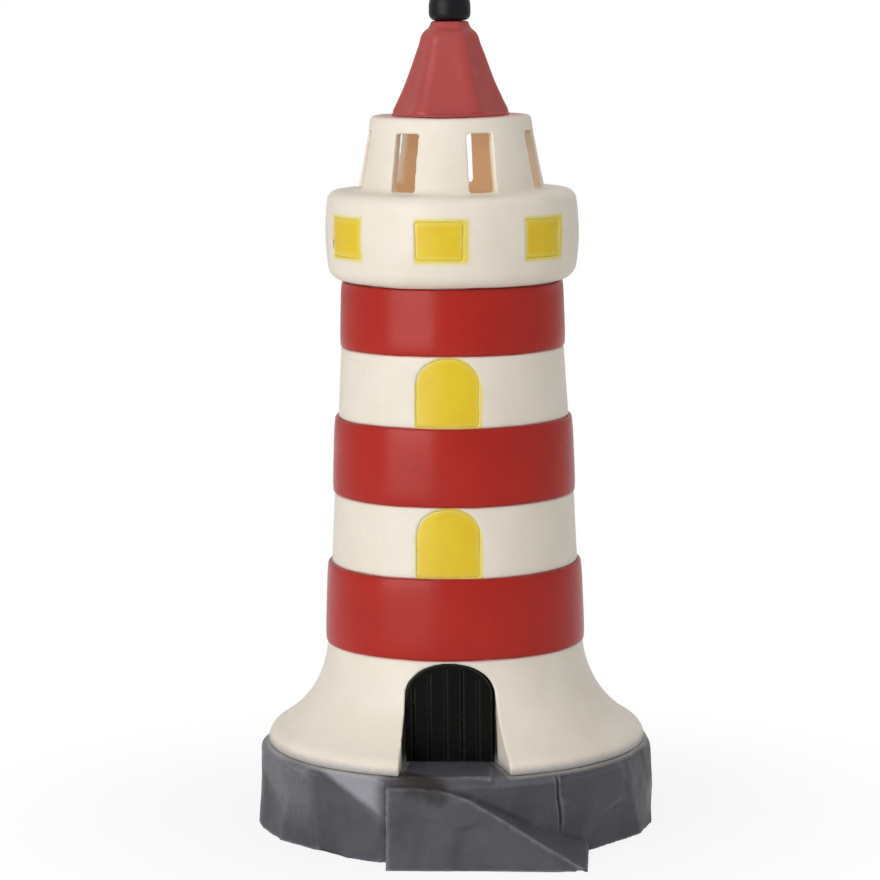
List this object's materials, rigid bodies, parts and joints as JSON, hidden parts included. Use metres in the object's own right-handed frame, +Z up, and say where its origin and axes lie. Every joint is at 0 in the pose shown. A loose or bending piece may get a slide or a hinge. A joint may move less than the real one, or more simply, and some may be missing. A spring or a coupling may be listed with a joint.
{
  "type": "lighthouse night light",
  "caption": "Table night light shaped as a banded lighthouse on a rock plinth, with a pull-out base plug that carries a lamp holder and a screw bulb.",
  "frame": {"origin": "on the table, on the tower's axis, at the centre of the base plug's underside", "axes": "+Z up the tower's axis, -Y out through the door, +X to the right of someone who faces the door"},
  "size_m": [0.1449, 0.1526, 0.3061],
  "materials": {
    "ivory_vinyl": "soft moulded vinyl, satin",
    "red_vinyl": "red paint on soft vinyl, satin",
    "roof_vinyl": "red paint on soft vinyl, matte",
    "yellow_vinyl": "yellow translucent vinyl, satin",
    "rock_vinyl": "grey paint on soft vinyl, matte",
    "door_vinyl": "black paint on soft vinyl, satin",
    "knob_vinyl": "black paint on soft vinyl, satin",
    "plug_plastic": "black moulded plastic, fine spark texture",
    "grommet_rubber": "black moulded rubber",
    "holder_plastic": "white thermoset plastic, satin",
    "terminal_plastic": "white moulded plastic",
    "contact_brass": "pressed brass",
    "screw_steel": "zinc-plated steel",
    "live_lead_sleeve": "brown wire sleeve",
    "neutral_lead_sleeve": "blue wire sleeve",
    "cap_nickel": "nickel-plated rolled brass",
    "insulator_glass": "black glass",
    "bulb_plastic": "white moulded plastic, gloss",
    "board_white": "white printed board with yellow light chips",
    "opal_dome": "opal diffuser"
  },
  "bodies": {
    "tower": {"rock_plinth": "rock_vinyl", "tower_shell": "ivory_vinyl", "band_lower": "red_vinyl", "band_middle": "red_vinyl", "band_upper": "red_vinyl", "door": "door_vinyl", "window_lower": "yellow_vinyl", "window_upper": "yellow_vinyl", "gallery_lantern": "ivory_vinyl", "gallery_panes": "yellow_vinyl", "roof": "roof_vinyl", "knob": "knob_vinyl"},
    "base_plug": {"base_plate": "plug_plastic", "cable_grommet": "grommet_rubber", "lamp_holder": "holder_plastic", "holder_insert": "holder_plastic", "thread_sleeve": "contact_brass", "centre_contact": "contact_brass", "sleeve_contact": "contact_brass", "holder_screws": "screw_steel", "terminal_block": "terminal_plastic", "terminal_screws": "screw_steel", "live_lead": "live_lead_sleeve", "neutral_lead": "neutral_lead_sleeve"},
    "bulb": {"bulb_cap": "cap_nickel", "bulb_insulator": "insulator_glass", "bulb_tip": "cap_nickel", "bulb_housing": "bulb_plastic", "led_board": "board_white", "bulb_dome": "opal_dome"}
  },
  "joints": [
    {"name": "base_plug_out", "type": "slide", "parent": "tower", "child": "base_plug", "axis": [0, 0, -1], "range_m": [0, 0.14]},
    {"name": "bulb_out", "type": "slide", "parent": "base_plug", "child": "bulb", "axis": [0, 0, 1], "range_m": [0, 0.026]}
  ]
}
